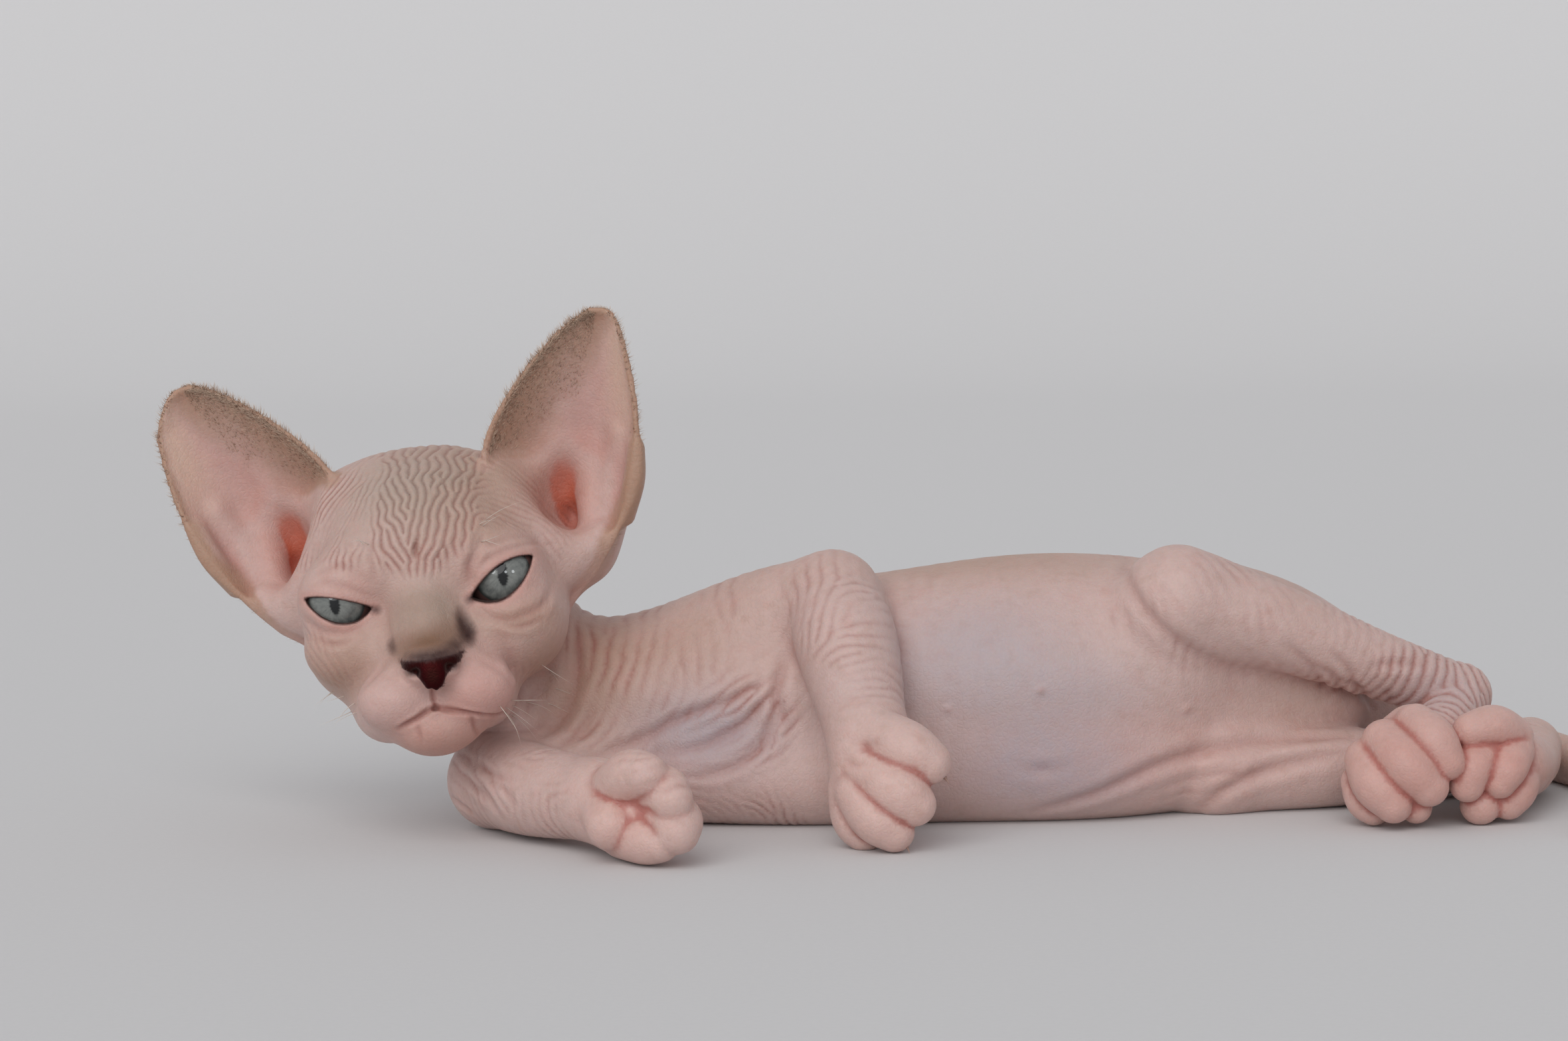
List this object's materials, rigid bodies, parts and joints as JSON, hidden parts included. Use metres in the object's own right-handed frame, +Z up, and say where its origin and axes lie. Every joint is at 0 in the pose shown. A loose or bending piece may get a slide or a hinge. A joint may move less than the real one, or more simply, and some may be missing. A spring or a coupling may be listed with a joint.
{
  "type": "sphynx kitten",
  "caption": "Still, life-size model of a hairless young sphynx cat lying on its side with its head raised, large cupped ears up and its legs stretched out in front of it.",
  "frame": {"origin": "on the floor, under the middle of the whole kitten", "axes": "+X along the body from head to tail, -Y the side that the face and belly point to, +Z up"},
  "size_m": [0.345, 0.1234, 0.121],
  "materials": {
    "skin": "bare warm skin with a faint down, matt",
    "ear_skin": "thin pink skin, brown short-haired rim",
    "paw_skin": "pink, finely creased",
    "nose_leather": "dark, slightly moist",
    "eye": "wet, blue-grey iris with a slit pupil"
  },
  "bodies": {
    "root": {"head": "skin", "nose": "nose_leather", "eye_left": "eye", "eye_right": "eye", "ear_left": "ear_skin", "ear_right": "ear_skin", "neck": "skin", "torso": "skin", "left_upper_arm": "skin", "left_forearm": "skin", "left_forepaw": "paw_skin", "right_upper_arm": "skin", "right_forearm": "skin", "right_forepaw": "paw_skin", "left_thigh": "skin", "left_shank": "skin", "left_hind_paw": "paw_skin", "right_thigh": "skin", "right_shank": "skin", "right_hind_paw": "paw_skin", "tail_base": "skin", "tail_middle": "skin", "tail_tip": "skin"}
  },
  "joints": []
}
